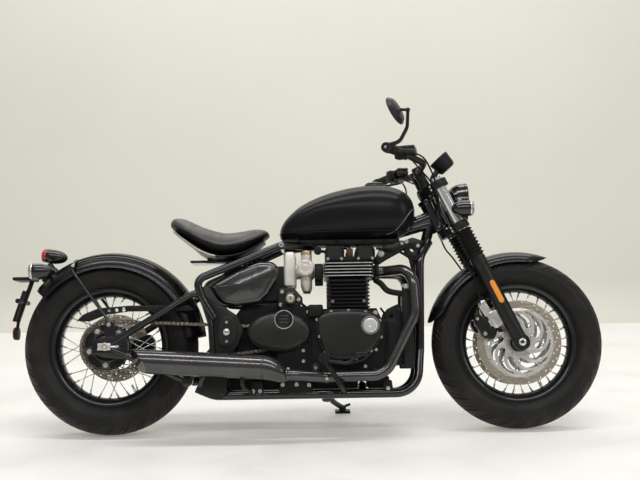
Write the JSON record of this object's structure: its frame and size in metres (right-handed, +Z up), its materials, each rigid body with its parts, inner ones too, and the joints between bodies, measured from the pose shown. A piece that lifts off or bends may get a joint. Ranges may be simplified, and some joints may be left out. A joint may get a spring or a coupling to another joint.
{
  "type": "motorcycle",
  "caption": "Low single-seat bobber motorcycle with an open twin engine, wire wheels and upswept handlebar, leaning on its side stand",
  "frame": {"origin": "Bottom centre of the bounding box, on the level ground that both tyres and the side stand's foot stand on.", "axes": "+X is forward, the way the motorcycle rides; +Y is to the rider's left, the side it leans to; +Z is up."},
  "size_m": [2.1936, 0.9561, 1.2172],
  "materials": {
    "tyre": "matte",
    "black_metal": "satin",
    "disc_steel": "satin",
    "dark_steel": "satin",
    "bright_steel": "polished",
    "gloss_black": "gloss",
    "satin_black": "satin",
    "matte_black": "matte",
    "black_plastic": "matte",
    "seat_leather": "satin",
    "seat_metal": "satin",
    "engine_black": "satin",
    "engine_satin": "satin",
    "carb_metal": "satin",
    "exhaust_satin": "satin"
  },
  "bodies": {
    "chassis": {"airbox": "black_plastic", "alternator_cover": "engine_satin", "barrels": "engine_black", "brake_pedal": "black_metal", "chain": "dark_steel", "chain_guard": "black_plastic", "clutch_cover": "engine_satin", "crankcase": "engine_black", "cylinder_head": "engine_black", "exhaust_left": "exhaust_satin", "exhaust_right": "exhaust_satin", "frame": "gloss_black", "fuel_tank": "matte_black", "gear_pedal": "black_metal", "radiator": "black_plastic", "rear_axle": "bright_steel", "rear_fender": "gloss_black", "rear_shock": "dark_steel", "rocker_cover": "engine_satin", "seat_bracket": "black_metal", "seat_pad": "seat_leather", "seat_pan": "seat_metal", "side_panel_left": "matte_black", "side_panel_right": "matte_black", "sprocket_cover": "engine_satin", "swingarm": "gloss_black", "tail_lamps": "black_plastic", "throttle_bodies": "carb_metal"},
    "steering": {"fork_yokes": "black_metal", "fork_leg_left": "satin_black", "fork_leg_right": "satin_black", "handlebar": "black_metal", "mirror_left": "black_metal", "mirror_right": "black_metal", "headlight": "gloss_black", "front_indicators": "gloss_black", "instrument": "black_plastic", "front_fender": "matte_black", "front_axle": "bright_steel"},
    "front_wheel": {"front_tyre": "tyre", "front_wheel_rim": "black_metal", "front_disc_left": "disc_steel", "front_disc_right": "disc_steel"},
    "rear_wheel": {"rear_tyre": "tyre", "rear_wheel_rim": "black_metal", "rear_disc": "disc_steel", "rear_sprocket": "dark_steel"},
    "stand": {"side_stand": "satin_black"}
  },
  "joints": [
    {"name": "steering_turn", "type": "hinge", "parent": "chassis", "child": "steering", "pos_m": [0.5221, -0.07312, 0.71293], "axis": [-0.4352, 0.1718, 0.8838], "range_deg": [-30, 30]},
    {"name": "front_wheel_spin", "type": "hinge", "parent": "steering", "child": "front_wheel", "pos_m": [0.7812, -0.15095, 0.31254], "axis": [0, 0.9816, -0.1908], "continuous": true},
    {"name": "rear_wheel_spin", "type": "hinge", "parent": "chassis", "child": "rear_wheel", "pos_m": [-0.7288, -0.14975, 0.31872], "axis": [0, 0.9816, -0.1908], "continuous": true},
    {"name": "stand_fold", "type": "hinge", "parent": "chassis", "child": "stand", "pos_m": [0.0712, -0.03027, 0.10532], "axis": [0.0408, 0.53, 0.847], "range_deg": [0, 105]}
  ]
}
